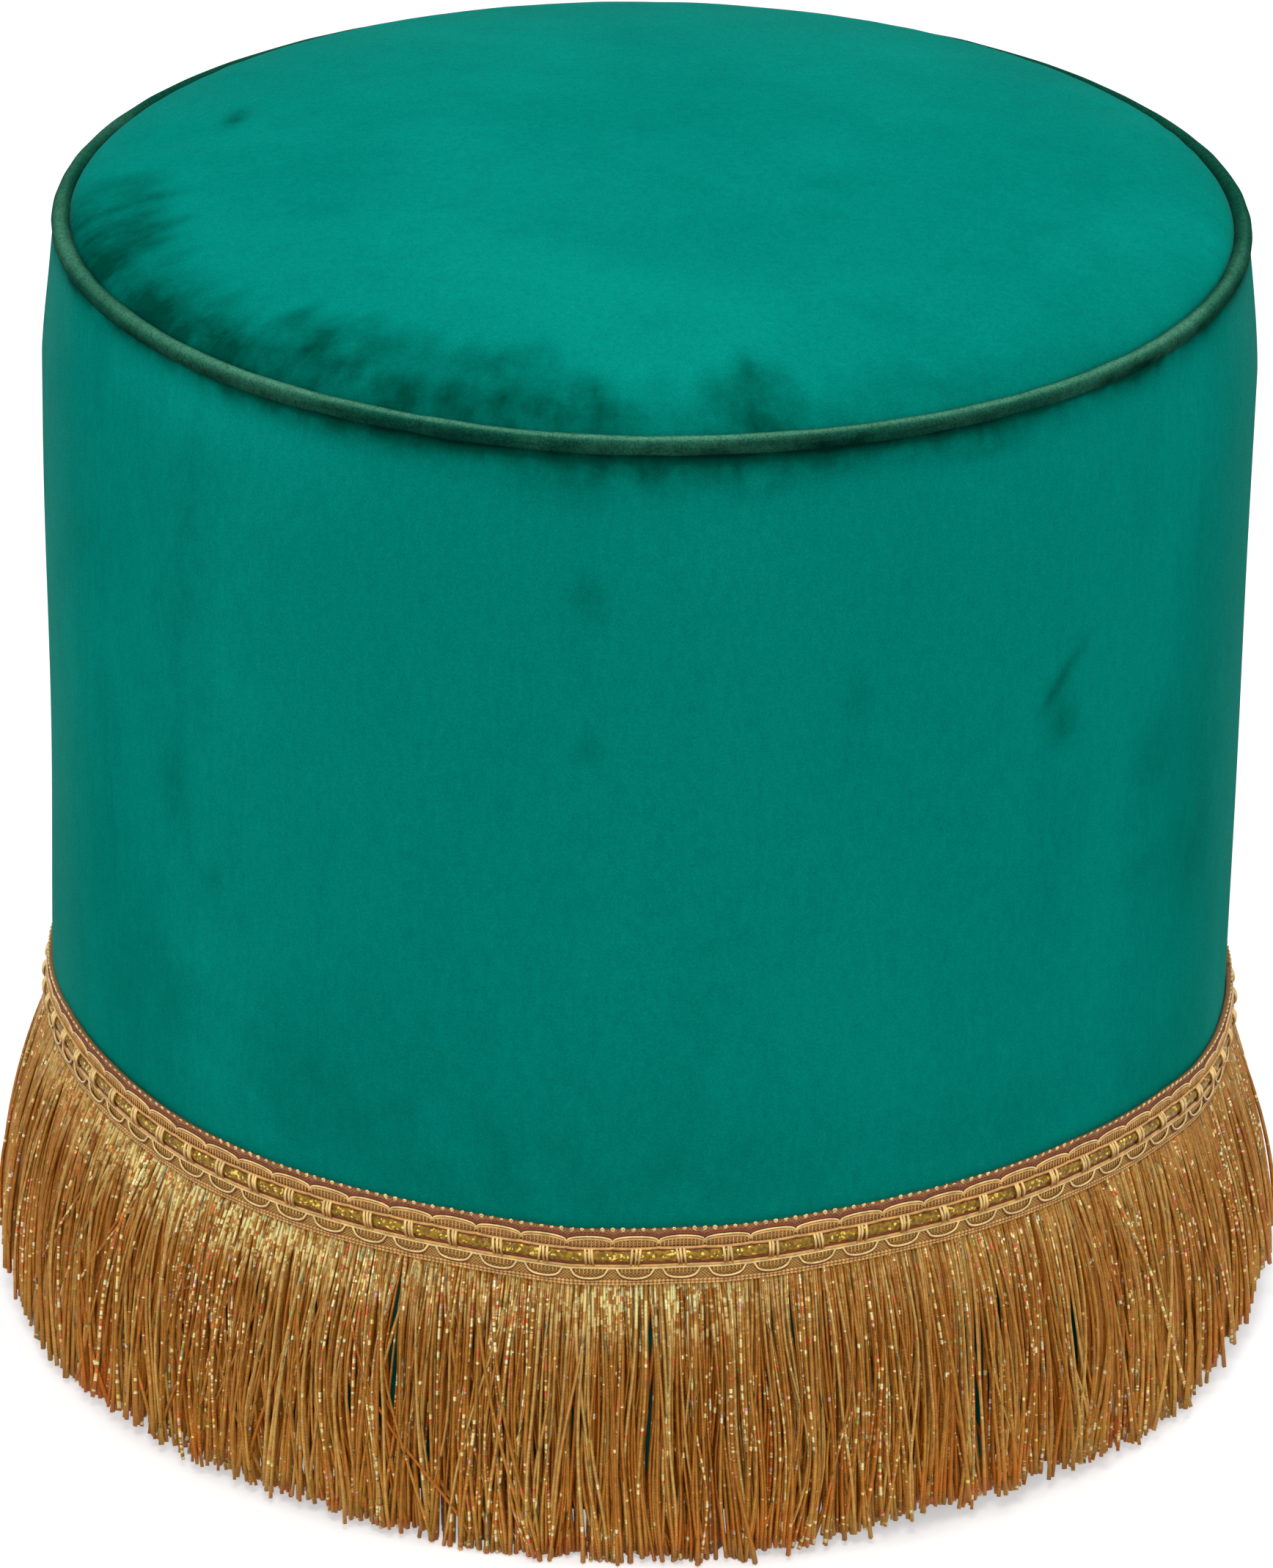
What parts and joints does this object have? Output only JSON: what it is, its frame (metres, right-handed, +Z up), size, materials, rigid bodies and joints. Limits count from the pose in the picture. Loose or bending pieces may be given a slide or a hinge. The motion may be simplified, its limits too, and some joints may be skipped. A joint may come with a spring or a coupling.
{
  "type": "round upholstered tuffet",
  "caption": "Round velvet-covered drum tuffet with a crowned piped seat and a gimp-headed cut fringe hanging round its foot.",
  "frame": {"origin": "on the floor, under the middle of the round drum", "axes": "+Z up along the drum's axis, -Y towards the viewer of the picture, +X to the viewer's right"},
  "size_m": [0.4556, 0.4556, 0.422],
  "materials": {
    "velvet": "crushed velvet pile",
    "piping_velvet": "velvet pile",
    "cotton_cord": "matte",
    "foam": "open-cell foam",
    "wadding": "soft fibre",
    "plywood": "sanded",
    "pine": "sawn",
    "hardboard": "smooth",
    "lining": "spun-bonded cloth",
    "glide_plastic": "moulded",
    "steel": "zinc plated",
    "gimp": "braided rayon",
    "lurex": "metallic yarn",
    "fringe": "shiny cut yarn"
  },
  "bodies": {
    "root": {"seat_board": "plywood", "base_board": "plywood", "post_1": "pine", "post_2": "pine", "post_3": "pine", "post_4": "pine", "post_5": "pine", "post_6": "pine", "seat_board_screw_1": "steel", "seat_board_screw_2": "steel", "seat_board_screw_3": "steel", "seat_board_screw_4": "steel", "seat_board_screw_5": "steel", "seat_board_screw_6": "steel", "base_board_screw_1": "steel", "base_board_screw_2": "steel", "base_board_screw_3": "steel", "base_board_screw_4": "steel", "base_board_screw_5": "steel", "base_board_screw_6": "steel", "hardboard_wall": "hardboard", "glide_1": "glide_plastic", "glide_2": "glide_plastic", "glide_3": "glide_plastic", "glide_4": "glide_plastic", "dust_cover": "lining", "staple_1": "steel", "staple_2": "steel", "staple_3": "steel", "staple_4": "steel", "staple_5": "steel", "staple_6": "steel", "staple_7": "steel", "staple_8": "steel", "seat_foam": "foam", "seat_wadding": "wadding", "side_padding": "foam", "seat_cover": "velvet", "side_cover": "velvet", "piping_cloth": "piping_velvet", "piping_cord": "cotton_cord", "gimp_tape": "gimp", "gimp_upper_edge_cord": "gimp", "gimp_braid_cord": "lurex", "gimp_lower_edge_cord": "gimp", "fringe_rear_right": "fringe", "fringe_rear_left": "fringe", "fringe_front_left": "fringe", "fringe_front_right": "fringe"}
  },
  "joints": []
}
